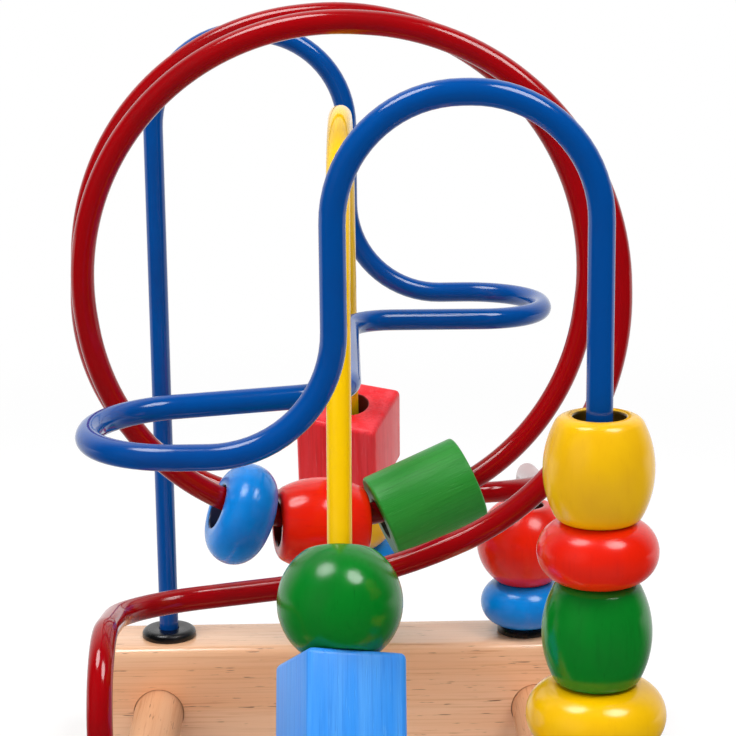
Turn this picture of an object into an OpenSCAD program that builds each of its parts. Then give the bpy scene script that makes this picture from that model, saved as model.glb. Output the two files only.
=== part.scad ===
// Bead maze: two wooden bars joined by dowels carry three bent wires strung with loose wooden beads.
// Front is -Y, right is +X, up is +Z. The origin is the middle of the floor under the bars.

/* [Base] */
// Length of each bar, left to right
bar_length = 160; // [146:1:200]
// Depth of each bar, front to back
bar_depth = 25; // [22:1:34]
// Height of each bar
bar_height = 38; // [34:1:60]
// Rounding of the bar edges
bar_round = 3; // [1:0.5:5]
// Distance between the left and right posts
post_span = 113; // [108:1:120]
// Distance between the front and rear posts
post_reach = 194; // [188:1:210]
// Depth of the upright wire holes below the bar tops
wire_seat = 28; // [20:1:32]
// Depth of the leaning wire holes below the bar tops
leaning_seat = 18; // [12:1:19]
// Diameter of the two dowels
dowel_d = 15.5; // [10:0.5:18]
// Distance between the two dowels
dowel_span = 119; // [110:1:124]
// Height of the dowels above the floor, at their middle
dowel_z = 16.5; // [13:0.5:22]
// Depth of the dowel holes in each bar
dowel_seat = 8; // [5:0.5:8.5]

/* [Grommets] */
// Diameter of the collar on the bar top
collar_d = 17; // [14:0.5:20]
// Height of the collar
collar_h = 2.8; // [2:0.1:4]
// Rounding of the collar rim
collar_round = 1.8; // [0.5:0.1:2]
// Diameter of the sleeve inside the bar
sleeve_d = 9; // [8:0.25:11]
// Length of the sleeve inside the bar
sleeve_h = 8; // [4:0.5:12]

/* [Wires] */
// Diameter of the coated wire
wire_d = 6; // [4:0.25:6.5]
// Height of the blue arches above the bars
blue_arch_z = 190; // [180:1:210]
// Height of the blue arms above the bars
blue_arm_z = 110; // [100:1:120]
// How far the inner leg of a blue arch lies past the middle
blue_inner_x = 2; // [0:0.5:6]
// How far the blue U-turns reach to the side
blue_turn_x = 59; // [54:0.5:64]
// Front to back place of the inner blue arm at its U-turn
blue_turn_y = 54; // [50:0.5:58]
// Front to back place of the inner blue arm at the middle
blue_mid_y = 45; // [42:0.5:48]
// Sideways place of the blue middle run
blue_mid_x = 1.5; // [0:0.5:3]
// Height of the blue middle run above the bars
blue_mid_z = 112; // [108:0.5:114]
// Bend radius where a blue leg sweeps into its arm
blue_sweep_r = 28; // [20:1:32]
// Bend radius of the blue corners at the middle run
blue_mid_r = 15; // [12:1:18]
// Height of the yellow peak above the bars
yellow_peak_z = 174.5; // [165:0.5:185]
// Lean of the yellow legs
yellow_lean = 20; // [17:0.5:22]
// Turn of the yellow wire seen from above
yellow_turn = 1.2; // [0:0.1:3]
// Height of the red bend over the front left post
red_front_z = 67; // [60:1:72]
// Height of the red bend over the rear right post
red_rear_z = 53; // [51:0.5:60]
// Bend radius over the front left red post
red_front_post_r = 18; // [12:0.5:20]
// Bend radius over the rear right red post
red_rear_post_r = 12; // [9:0.5:13]
// Front to back place of the front red pass
red_front_pass_y = 38; // [34:1:42]
// Height of the front red pass at its left end
red_front_pass_z = 55.5; // [52:0.5:58]
// Sideways place of the slight bend in the front red pass
red_mid_x = 7.5; // [0:0.5:10]
// Height of the slight bend in the front red pass
red_mid_z = 62.5; // [60:0.5:64]
// Bend radius of the slight bend
red_mid_r = 138; // [100:1:140]
// Right reach of the corner where the front pass turns up into the coil
red_rise_x = 69.5; // [69:0.5:72]
// Height of that corner
red_rise_z = 89; // [86:0.5:90]
// Bend radius of that corner
red_rise_r = 67; // [58:0.5:67]
// Bend radius at the inner ends of the red passes
red_pass_r = 20; // [14:1:22]
// Front to back place of the first and the last upper corner of the coil
red_coil_outer_y = 32; // [30:0.5:34]
// Front to back place of the two middle upper corners of the coil
red_coil_inner_y = 21; // [19:0.5:24]
// Front to back place of the ends of the crossing
red_cross_y = 12; // [10:0.5:14]
// Front to back place of the rear red pass
red_rear_pass_y = 34.5; // [33:0.5:38]
// Right reach of the front ring's upper corner
red_front_right = 67.5; // [66:0.5:69]
// Height of the front ring's upper right corner
red_front_right_z = 196; // [195:0.5:198]
// Bend radius of that corner
red_front_right_r = 66; // [58:0.5:66]
// Left reach of the front ring's upper corner
red_front_left = 76.5; // [76:0.5:79]
// Height of the front ring's upper left corner
red_front_left_z = 206.5; // [205:0.5:210]
// Left reach of the crossing's corner
red_cross_left = 56.5; // [55:0.5:58]
// Height of the crossing's left corner
red_cross_left_z = 60; // [59:0.5:61]
// Bend radius on the left of the crossing
red_cross_left_r = 65.5; // [62:0.5:67]
// Straight run in the middle of the crossing
red_cross_run = 8.4; // [6:0.1:12]
// Right reach of the crossing's corner
red_cross_right = 59; // [58:0.5:60]
// Height of the crossing's right corner
red_cross_right_z = 74; // [73:0.5:75]
// Right reach of the rear ring's upper corner
red_rear_right = 77.5; // [76:0.5:79]
// Height of the rear ring's upper right corner
red_rear_right_z = 208; // [207:0.5:211]
// Left reach of the rear ring's upper corner
red_rear_left = 69; // [68:0.5:71]
// Height of the rear ring's upper left corner
red_rear_left_z = 193; // [192:0.5:196]
// Left reach of the corner where the rear ring turns into the rear pass
red_fall_x = 75.5; // [74:0.5:76]
// Height of that corner
red_fall_z = 60.5; // [58:0.5:64]
// Bend radius of that corner
red_fall_r = 58; // [50:0.5:60]
// Height of the rear red pass at its right end
red_rear_pass_z = 64; // [62:0.5:66]

/* [Beads] */
// Hole through every bead
bead_bore = 11.7; // [9.5:0.1:12]
// Diameter of the barrels
barrel_d = 25; // [22:0.5:27]
// Height of the barrels
barrel_h = 24.2; // [22:0.1:25]
// Diameter of the flat ends of the barrels
barrel_flat = 17; // [14:0.5:18]
// Diameter of the balls
ball_d = 30; // [28:0.5:31]
// Height of the balls between their flat ends
ball_h = 25; // [23:0.5:26]
// Diameter of the discs
disc_d = 27.5; // [24:0.5:29]
// Height of the discs
disc_h = 14; // [12:0.5:14.5]
// Diameter of the flat ends of the discs
disc_flat = 16; // [14:0.5:18]
// Diameter of the wide discs
wide_d = 32; // [28:0.5:33]
// Height of the wide disc in the tall stack
wide_h = 15; // [14:0.5:16.5]
// Diameter of the flat ends of the wide discs
wide_flat = 18; // [15:0.5:20]
// Height of the two discs under the front cube
front_disc_h = 13.4; // [12:0.1:14]
// Height of the two wide discs on the rear leg
rear_disc_h = 16.3; // [14:0.1:17]
// Side of the cubes
cube_side = 24.7; // [22:0.1:25]
// Rounding of the cube edges
cube_round = 2; // [0.5:0.5:4]
// Diameter of the log
log_d = 24; // [20:0.5:26]
// Length of the log
log_h = 26.5; // [22:0.5:27]
// Chamfer at the ends of the log
log_chamfer = 0.8; // [0.2:0.1:2]
// Tilt of the front cube and ball on their loose fit
front_tilt = 11; // [0:1:11]
// Turn of the front cube about its leg
front_cube_turn = 21; // [0:1:45]
// Turn of the rear cube about its leg
rear_cube_turn = -19; // [-45:1:0]
// How far the loop disc hangs below the wire
disc_hang = 2.1; // [0.5:0.1:2.1]
// How far the loop barrel hangs below the wire
barrel_hang = 1.3; // [0.5:0.1:1.3]
// How far the middle of the tilted log stands above the wire
log_lift = 0.7; // [0.6:0.1:0.8]
// Angle of the loop disc up the left bend
loop_disc_angle = 29.5; // [29.5:0.5:36]
// Angle of the loop barrel up the left bend
loop_barrel_angle = 10.5; // [10:0.1:10.5]
// Angle of the loop log up the right bend
loop_log_angle = 8; // [7.5:0.1:14]
// Extra tilt of the loop log on its loose fit
loop_log_tilt = 6.5; // [5:0.5:6.5]

/* [Hidden] */
$fn = 64;

// Clearance of a glued seat, on the radius
seat_fit = 0.1;
// Rest gap between a bead and what it leans on
rest_gap = 0.3;
// Overrun of a cutting tool past a face
cut = 1;

post_x = post_span / 2;
post_y = post_reach / 2;
dowel_x = dowel_span / 2;
dowel_length = post_reach - bar_depth + 2 * dowel_seat;
sleeve_hole = sleeve_h + rest_gap;

blue_paint = [0, 0.27, 0.62];
red_paint = [0.72, 0, 0.07];
yellow_paint = [0.96, 0.75, 0];
bead_yellow = [0.98, 0.8, 0];
bead_red = [0.9, 0.12, 0.05];
bead_green = [0, 0.5, 0.13];
bead_blue = [0.05, 0.5, 0.88];
cube_blue = [0.32, 0.6, 0.96];
cube_red = [0.93, 0.22, 0.24];
log_green = [0.2, 0.56, 0.22];
beech = [0.88, 0.68, 0.5];
grommet_black = [0.07, 0.07, 0.08];

// Bent wire geometry: a route of corner points, each rounded by its bend radius

function unit(v) = v / norm(v);
function heading(route, i) = unit(route[i + 1] - route[i]);
function turn_at(route, i) = acos(heading(route, i - 1) * heading(route, i));
function is_corner(route, i) = i > 0 && i < len(route) - 1;
function setback(route, bends, i) = is_corner(route, i) ? bends[i] * tan(turn_at(route, i) / 2) : 0;
function run_start(route, bends, i) = route[i] + heading(route, i) * setback(route, bends, i);
function run_end(route, bends, i) = route[i + 1] - heading(route, i) * setback(route, bends, i + 1);
function inward(route, i) = unit(heading(route, i) - heading(route, i - 1) * cos(turn_at(route, i)));

// Half turn about the vertical axis, which carries the front of a wire to its rear
function half_turn(p) = [-p[0], -p[1], p[2]];
function reversed(list) = [for (i = [len(list) - 1 : -1 : 0]) list[i]];

// Where a run meets a bend, a short band stands proud of the wire by a hair and holds both ends
band_proud = 0.03;
band_half = 0.4;
run_gap = 0.1;
// Straight left between two bends that would otherwise meet
rest_run = 2;

module straight_run(route, bends, i) {
    from = run_start(route, bends, i) + heading(route, i) * (is_corner(route, i) ? run_gap : 0);
    to = run_end(route, bends, i) - heading(route, i) * (is_corner(route, i + 1) ? run_gap : 0);
    along = to - from;
    translate(from)
        rotate([0, acos(along[2] / norm(along)), atan2(along[1], along[0])])
            cylinder(d = wire_d, h = norm(along));
}

module ring_part(r, d, from_angle, to_angle) {
    rotate([0, 0, from_angle])
        rotate_extrude(angle = to_angle - from_angle)
            translate([r, 0]) circle(d = d);
}

module bend(route, bends, i) {
    r = bends[i];
    turn = turn_at(route, i);
    out = -inward(route, i);
    ahead = heading(route, i - 1);
    up = cross(out, ahead);
    hub = run_end(route, bends, i - 1) - out * r;
    gap = asin(run_gap / r);
    half_band = asin(band_half / r);
    multmatrix([
        [out[0], ahead[0], up[0], hub[0]],
        [out[1], ahead[1], up[1], hub[1]],
        [out[2], ahead[2], up[2], hub[2]],
        [0, 0, 0, 1]
    ]) {
        ring_part(r, wire_d, gap, turn - gap);
        for (middle = [0, turn])
            ring_part(r, wire_d + 2 * band_proud, middle - half_band, middle + half_band);
    }
}

module bent_wire(route, bends) {
    translate([0, 0, bar_height]) {
        for (i = [0 : len(route) - 2])
            straight_run(route, bends, i);
        for (i = [1 : len(route) - 2])
            bend(route, bends, i);
    }
}

// Blue wire: post, arch, inner leg, arm, U-turn, inner arm, then the same turned half round

blue_half = [
    [post_x, -post_y, -wire_seat],
    [post_x, -post_y, blue_arch_z],
    [-blue_inner_x, -post_y, blue_arch_z],
    [-blue_inner_x, -post_y, blue_arm_z],
    [-blue_turn_x, -post_y, blue_arm_z],
    [-blue_turn_x, -blue_turn_y, blue_arm_z]
];
blue_arch_r = (post_x + blue_inner_x - rest_run) / 2;
blue_middle = [[blue_mid_x, -blue_mid_y, blue_mid_z], [blue_mid_x, blue_mid_y, blue_mid_z]];
blue_route = concat(blue_half, blue_middle, [for (p = reversed(blue_half)) half_turn(p)]);
blue_front_turn_r = (post_y - blue_turn_y - rest_run) / (1 + tan(turn_at(blue_route, 5) / 2));
blue_rear_turn_r = (post_y - blue_turn_y - rest_run) / (1 + tan(turn_at(blue_route, 8) / 2));
blue_bends = [
    0, blue_arch_r, blue_arch_r, blue_sweep_r, blue_front_turn_r, blue_front_turn_r, blue_mid_r,
    blue_mid_r, blue_rear_turn_r, blue_rear_turn_r, blue_sweep_r, blue_arch_r, blue_arch_r, 0
];

module blue_wire() {
    color(blue_paint) bent_wire(blue_route, blue_bends);
}

// Yellow wire: two leaning legs and a round peak

yellow_vertex_z = post_y / tan(yellow_lean);
yellow_peak_r = (yellow_vertex_z - yellow_peak_z) / (1 / sin(yellow_lean) - 1);
yellow_foot = [0, -post_y - leaning_seat * tan(yellow_lean), -leaning_seat];
yellow_route = [yellow_foot, [0, 0, yellow_vertex_z], half_turn(yellow_foot)];

module yellow_wire() {
    color(yellow_paint)
        rotate([0, 0, -yellow_turn])
            bent_wire(yellow_route, [0, yellow_peak_r, 0]);
}

// Red wire: front left post, front pass, a coil of two rings with a crossing, rear pass, rear right post

red_route = [
    [-post_x, -post_y, -wire_seat],
    [-post_x, -post_y, red_front_z],
    [-post_x, -red_front_pass_y, red_front_pass_z],
    [red_mid_x, -red_front_pass_y, red_mid_z],
    [red_rise_x, -red_front_pass_y, red_rise_z],
    [red_front_right, -red_coil_outer_y, red_front_right_z],
    [-red_front_left, -red_coil_inner_y, red_front_left_z],
    [-red_cross_left, -red_cross_y, red_cross_left_z],
    [red_cross_right, red_cross_y, red_cross_right_z],
    [red_rear_right, red_coil_inner_y, red_rear_right_z],
    [-red_rear_left, red_coil_outer_y, red_rear_left_z],
    [-red_fall_x, red_rear_pass_y, red_fall_z],
    [post_x, red_rear_pass_y, red_rear_pass_z],
    [post_x, post_y, red_rear_z],
    [post_x, post_y, -wire_seat]
];

// Corners of the coil: last of the front ring, both ends of the crossing, both tops of the rear ring
front_last = 6;
cross_first = 7;
cross_last = 8;
rear_first = 9;
rear_last = 10;
function half_tan(i) = tan(turn_at(red_route, i) / 2);
function run_left(i, back, straight) = norm(red_route[i + 1] - red_route[i]) - back - straight;
cross_back = red_cross_left_r * half_tan(cross_first);
red_front_left_r = run_left(front_last, cross_back, rest_run) / half_tan(front_last);
red_cross_right_r = run_left(cross_first, cross_back, red_cross_run) / half_tan(cross_last);
red_rear_ring_r = run_left(rear_first, 0, rest_run) / (half_tan(rear_first) + half_tan(rear_last));
red_bends = [
    0, red_front_post_r, red_pass_r, red_mid_r, red_rise_r, red_front_right_r, red_front_left_r,
    red_cross_left_r, red_cross_right_r, red_rear_ring_r, red_rear_ring_r, red_fall_r,
    red_pass_r, red_rear_post_r, 0
];

module red_wire() {
    color(red_paint) bent_wire(red_route, red_bends);
}

// Base: bars, dowels and grommets

module at_post(side_x, side_y) {
    translate([side_x * post_x, side_y * post_y, bar_height]) children();
}

// Frame of a yellow leg: its origin is on the bar top and +Z runs up along the wire
module on_leg(side_y) {
    rotate([0, 0, -yellow_turn])
        translate([0, side_y * post_y, bar_height])
            rotate([side_y * yellow_lean, 0, 0]) children();
}

module rounded_square(size, r) {
    for (x = [r, size[0] - r], y = [r, size[1] - r])
        translate([x, y]) circle(r = r);
    translate([r, 0]) square([size[0] - 2 * r, size[1]]);
    translate([0, r]) square([size[0], size[1] - 2 * r]);
}

// Box with rounded edges, standing on the floor about the vertical axis
module rounded_box(size, r) {
    translate([-size[0] / 2, -size[1] / 2, 0])
        intersection() {
            linear_extrude(size[2]) rounded_square([size[0], size[1]], r);
            translate([0, size[1], 0])
                rotate([90, 0, 0])
                    linear_extrude(size[1]) rounded_square([size[0], size[2]], r);
            rotate([90, 0, 90])
                linear_extrude(size[0]) rounded_square([size[1], size[2]], r);
        }
}

// Stepped hole for a grommet sleeve and the wire end below it, opening upwards at the origin
module wire_hole() {
    translate([0, 0, -wire_seat])
        cylinder(d = wire_d + 2 * seat_fit, h = wire_seat + cut);
    translate([0, 0, -sleeve_hole])
        cylinder(d = sleeve_d + 2 * seat_fit, h = sleeve_hole + cut);
}

// The leaning hole ends square to its wire
module leg_hole() {
    depth = leaning_seat / cos(yellow_lean);
    translate([0, 0, -depth])
        cylinder(d = wire_d + 2 * seat_fit, h = depth + collar_d);
    translate([0, 0, -sleeve_hole])
        cylinder(d = sleeve_d + 2 * seat_fit, h = sleeve_hole + collar_d);
}

module bar(side_y) {
    difference() {
        translate([0, side_y * post_y, 0])
            rounded_box([bar_length, bar_depth, bar_height], bar_round);
        for (side_x = [-1, 1])
            at_post(side_x, side_y) wire_hole();
        on_leg(side_y) leg_hole();
        dowel_pair(dowel_d + 2 * seat_fit);
    }
}

module dowel_rod(side_x, d) {
    translate([side_x * dowel_x, dowel_length / 2, dowel_z])
        rotate([90, 0, 0]) cylinder(d = d, h = dowel_length);
}

module dowel_pair(d) {
    for (side_x = [-1, 1]) dowel_rod(side_x, d);
}

module front_bar() {
    color(beech) bar(-1);
}

module rear_bar() {
    color(beech) bar(1);
}

module left_dowel() {
    color(beech) dowel_rod(-1, dowel_d);
}

module right_dowel() {
    color(beech) dowel_rod(1, dowel_d);
}

// Collar with a rounded rim, lying on the bar top
module collar() {
    rotate_extrude()
        intersection() {
            square([collar_d / 2, collar_h]);
            union() {
                square([collar_d / 2 - collar_round, collar_h]);
                square([collar_d / 2, collar_h - collar_round]);
                translate([collar_d / 2 - collar_round, collar_h - collar_round])
                    circle(r = collar_round);
            }
        }
}

module grommet_at(side_x, side_y) {
    color(grommet_black)
        at_post(side_x, side_y)
            difference() {
                union() {
                    collar();
                    translate([0, 0, -sleeve_h]) cylinder(d = sleeve_d, h = sleeve_h + collar_h / 2);
                }
                translate([0, 0, -wire_seat]) cylinder(d = wire_d + 2 * seat_fit, h = 2 * wire_seat);
            }
}

module leg_grommet(side_y) {
    color(grommet_black)
        difference() {
            union() {
                rotate([0, 0, -yellow_turn])
                    translate([0, side_y * post_y, bar_height]) collar();
                on_leg(side_y)
                    translate([0, 0, -sleeve_h]) cylinder(d = sleeve_d, h = sleeve_h + collar_h / 2);
            }
            on_leg(side_y)
                translate([0, 0, -leaning_seat])
                    cylinder(d = wire_d + 2 * seat_fit, h = 2 * leaning_seat);
        }
}

module front_left_grommet() {
    grommet_at(-1, -1);
}

module front_centre_grommet() {
    leg_grommet(-1);
}

module front_right_grommet() {
    grommet_at(1, -1);
}

module rear_left_grommet() {
    grommet_at(-1, 1);
}

module rear_centre_grommet() {
    leg_grommet(1);
}

module rear_right_grommet() {
    grommet_at(1, 1);
}

// Bead shapes stand on their lower flat face, with the hole along +Z

module drilled(h) {
    difference() {
        children();
        translate([0, 0, -cut]) cylinder(d = bead_bore, h = h + 2 * cut);
    }
}

// Turned bead: one arc from flat end to flat end round a plain core
module turned_bead(d, h, flat) {
    rise = (d - flat) / 2;
    arc_r = (h * h / 4 + rise * rise) / (2 * rise);
    core_r = max(d / 2 - arc_r, bead_bore / 4);
    drilled(h)
        rotate_extrude()
            intersection() {
                union() {
                    translate([d / 2 - arc_r, h / 2]) circle(r = arc_r, $fn = 128);
                    square([core_r, h]);
                }
                square([d, h]);
            }
}

module barrel_bead() {
    turned_bead(barrel_d, barrel_h, barrel_flat);
}

module ball_bead() {
    turned_bead(ball_d, ball_h, sqrt(ball_d * ball_d - ball_h * ball_h));
}

module disc_bead() {
    turned_bead(disc_d, disc_h, disc_flat);
}

module wide_bead() {
    turned_bead(wide_d, wide_h, wide_flat);
}

module front_disc_bead() {
    turned_bead(disc_d, front_disc_h, disc_flat);
}

module rear_disc_bead() {
    turned_bead(wide_d, rear_disc_h, wide_flat);
}

module cube_bead(turn) {
    drilled(cube_side)
        rotate([0, 0, turn]) rounded_box([cube_side, cube_side, cube_side], cube_round);
}

module log_bead() {
    drilled(log_h) {
        translate([0, 0, log_chamfer]) cylinder(d = log_d, h = log_h - 2 * log_chamfer);
        cylinder(d1 = log_d - 2 * log_chamfer, d2 = log_d, h = log_chamfer);
        translate([0, 0, log_h - log_chamfer])
            cylinder(d1 = log_d, d2 = log_d - 2 * log_chamfer, h = log_chamfer);
    }
}

// Tall stack on the front right post: each bead stands on the one below, the lowest on its collar

stack_heights = [disc_h, barrel_h, wide_h, barrel_h, disc_h, barrel_h];
function sum_first(list, n) = n == 0 ? 0 : list[n - 1] + sum_first(list, n - 1);

module on_stack(level) {
    at_post(1, -1) translate([0, 0, collar_h + sum_first(stack_heights, level)]) children();
}

module stack_red_disc() {
    color(bead_red) on_stack(0) disc_bead();
}

module stack_blue_barrel() {
    color(bead_blue) on_stack(1) barrel_bead();
}

module stack_yellow_disc() {
    color(bead_yellow) on_stack(2) wide_bead();
}

module stack_green_barrel() {
    color(bead_green) on_stack(3) barrel_bead();
}

module stack_top_disc() {
    color(bead_red) on_stack(4) disc_bead();
}

module stack_yellow_barrel() {
    color(bead_yellow) on_stack(5) barrel_bead();
}

// Beads on the yellow legs: the lowest leans on the rim of its collar

leg_seat = (collar_d / 2 - collar_round) * sin(yellow_lean)
    + (collar_h - collar_round) * cos(yellow_lean) + collar_round + rest_gap;
front_cube_s = leg_seat + 2 * front_disc_h + rest_gap + disc_flat / 2 * tan(front_tilt)
    + cube_side / 2 / cos(front_tilt);
front_ball_s = front_cube_s + (cube_side + ball_h) / 2 / cos(front_tilt);
rear_ball_s = leg_seat + 2 * rear_disc_h;

// Bead centred on the front leg and tilted on its loose fit
module tilted_on_leg(centre_s, h) {
    on_leg(-1)
        translate([0, 0, centre_s])
            rotate([-front_tilt, 0, 0])
                translate([0, 0, -h / 2]) children();
}

module front_yellow_disc() {
    color(bead_yellow) on_leg(-1) translate([0, 0, leg_seat]) front_disc_bead();
}

module front_red_disc() {
    color(bead_red) on_leg(-1) translate([0, 0, leg_seat + front_disc_h]) front_disc_bead();
}

module front_blue_cube() {
    color(cube_blue) tilted_on_leg(front_cube_s, cube_side) cube_bead(front_cube_turn);
}

module front_green_ball() {
    color(bead_green) tilted_on_leg(front_ball_s, ball_h) ball_bead();
}

module rear_green_disc() {
    color(bead_green) on_leg(1) translate([0, 0, leg_seat]) rear_disc_bead();
}

module rear_blue_disc() {
    color(bead_blue) on_leg(1) translate([0, 0, leg_seat + rear_disc_h]) rear_disc_bead();
}

module rear_yellow_ball() {
    color(bead_yellow) on_leg(1) translate([0, 0, rear_ball_s]) ball_bead();
}

module rear_red_cube() {
    color(cube_red) on_leg(1) translate([0, 0, rear_ball_s + ball_h]) cube_bead(rear_cube_turn);
}

// Beads on the rear right post

module corner_blue_disc() {
    color(bead_blue) at_post(1, 1) translate([0, 0, collar_h]) disc_bead();
}

module corner_red_ball() {
    color(bead_red) at_post(1, 1) translate([0, 0, collar_h + disc_h]) ball_bead();
}

// Beads on the crossing of the red coil, which lie on the bends at its two ends

cross_along = heading(red_route, cross_first);
cross_left = run_start(red_route, red_bends, cross_first);
cross_right = run_end(red_route, red_bends, cross_first);
left_hub_way = unit(cross_along * cos(turn_at(red_route, cross_first)) - heading(red_route, front_last));
right_hub_way = inward(red_route, cross_last);

// Place a bead on a bend of the crossing, swung from the straight run about the bend's hub
module on_bend(from, hub_way, bend_r, swing, drop) {
    aside = cross(hub_way, cross_along);
    translate([0, 0, bar_height])
        multmatrix([
            [cross_along[0], aside[0], hub_way[0], from[0]],
            [cross_along[1], aside[1], hub_way[1], from[1]],
            [cross_along[2], aside[2], hub_way[2], from[2]],
            [0, 0, 0, 1]
        ])
            translate([0, 0, bend_r])
                rotate([0, -swing, 0])
                    translate([0, 0, -bend_r - drop]) children();
}

// Lay a bead of height h along +X with its middle at the origin
module laid(h) {
    rotate([0, 90, 0]) translate([0, 0, -h / 2]) children();
}

module loop_blue_disc() {
    color(bead_blue)
        on_bend(cross_left, left_hub_way, red_cross_left_r, -loop_disc_angle, disc_hang)
            laid(disc_h) disc_bead();
}

module loop_red_barrel() {
    color(bead_red)
        on_bend(cross_left, left_hub_way, red_cross_left_r, -loop_barrel_angle, barrel_hang)
            laid(barrel_h) barrel_bead();
}

module loop_green_log() {
    color(log_green)
        on_bend(cross_right, right_hub_way, red_cross_right_r, loop_log_angle, -log_lift)
            rotate([0, -loop_log_tilt, 0]) laid(log_h) log_bead();
}

front_bar();
rear_bar();
left_dowel();
right_dowel();
blue_wire();
red_wire();
yellow_wire();
front_left_grommet();
front_centre_grommet();
front_right_grommet();
rear_left_grommet();
rear_centre_grommet();
rear_right_grommet();
stack_red_disc();
stack_blue_barrel();
stack_yellow_disc();
stack_green_barrel();
stack_top_disc();
stack_yellow_barrel();
front_yellow_disc();
front_red_disc();
front_blue_cube();
front_green_ball();
rear_green_disc();
rear_blue_disc();
rear_yellow_ball();
rear_red_cube();
corner_blue_disc();
corner_red_ball();
loop_blue_disc();
loop_red_barrel();
loop_green_log();
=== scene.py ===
"""Looks of a bead maze: two beech bars, two dowels, three bent wires and nineteen loose beads.

Sizes are written in millimetres and angles in degrees. A mesh is made in metres, in the frame of
the solids.
"""

import logging
import math
from dataclasses import dataclass, field, replace
from enum import Enum
from typing import Callable, Iterator

import bmesh
import bpy
from mathutils import Matrix, Vector


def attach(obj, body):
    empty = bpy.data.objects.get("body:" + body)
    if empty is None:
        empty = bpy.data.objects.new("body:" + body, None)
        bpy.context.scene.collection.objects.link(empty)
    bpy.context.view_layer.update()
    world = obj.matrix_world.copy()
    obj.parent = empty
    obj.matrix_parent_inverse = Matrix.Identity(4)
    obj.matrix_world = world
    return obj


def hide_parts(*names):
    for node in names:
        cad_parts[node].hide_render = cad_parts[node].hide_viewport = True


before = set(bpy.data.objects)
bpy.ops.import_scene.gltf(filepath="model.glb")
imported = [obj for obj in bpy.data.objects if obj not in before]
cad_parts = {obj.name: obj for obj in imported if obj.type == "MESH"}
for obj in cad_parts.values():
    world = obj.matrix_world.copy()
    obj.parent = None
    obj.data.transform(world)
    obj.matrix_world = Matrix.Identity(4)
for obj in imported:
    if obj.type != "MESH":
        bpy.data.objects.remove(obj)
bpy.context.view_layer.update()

# A millimetre, and the gap under which two places count as one, in metres
MM = 0.001
HAIR = 1e-6

# Decimals to which a ring's height in metres is told from the next
RING_DIGITS = 7

IMAGE_SIDE = 736
GRAIN = "grain"
REACH = "reach"
FRAME_BODY = "maze_frame"
Piece = bpy.types.Object
Socket = bpy.types.NodeSocket
Colour = tuple[int, int, int]
Pair = tuple[float, float]
Triple = tuple[float, float, float]
Profile = list[Pair]

# Painted shade in a bore: its dark colour, where it fades out from the bore's axis, and how much of
# it shows
BORE_SHADE: Colour = (46, 26, 16)
BORE_SHADE_EDGE: Pair = (5.95, 6.3)
BORE_SHADE_SHARE = 0.9

# Middle stretch of a noise, over which most finishes grow dull
MIDDLE: Pair = (0.3, 0.7)

# Places of the sockets that mix colours on a mix node: share, first and second colour, and result
COLOUR_MIX_INPUTS = (0, 6, 7)
COLOUR_MIX_OUTPUT = 2

# Corner of the red wire's route where the crossing between its rings begins
CROSSING = 7

log = logging.getLogger("bead_maze")


def metres(point: Triple | Vector) -> Vector:
    """Turn a point in millimetres into metres."""
    return Vector(point) * MM


def linear(colour: Colour) -> tuple[float, float, float, float]:
    """Turn a screen colour into the linear light that a shader takes.

    Args:
        colour: Red, green and blue from 0 to 255.

    Returns:
        Linear red, green and blue with an alpha of one.
    """
    parts = [c / 255 for c in colour]
    light = [c / 12.92 if c <= 0.04045 else ((c + 0.055) / 1.055) ** 2.4 for c in parts]
    return (light[0], light[1], light[2], 1.0)


def turned(axis: str, degrees: float) -> Matrix:
    """Give a turn about one axis as a matrix."""
    return Matrix.Rotation(math.radians(degrees), 4, axis)


def moved(x: float, y: float, z: float) -> Matrix:
    """Give a move in millimetres as a matrix in metres."""
    return Matrix.Translation(metres((x, y, z)))


class Part(Enum):
    """What an edit-mode selection is made of."""

    VERTS = "VERT"
    EDGES = "EDGE"


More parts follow.
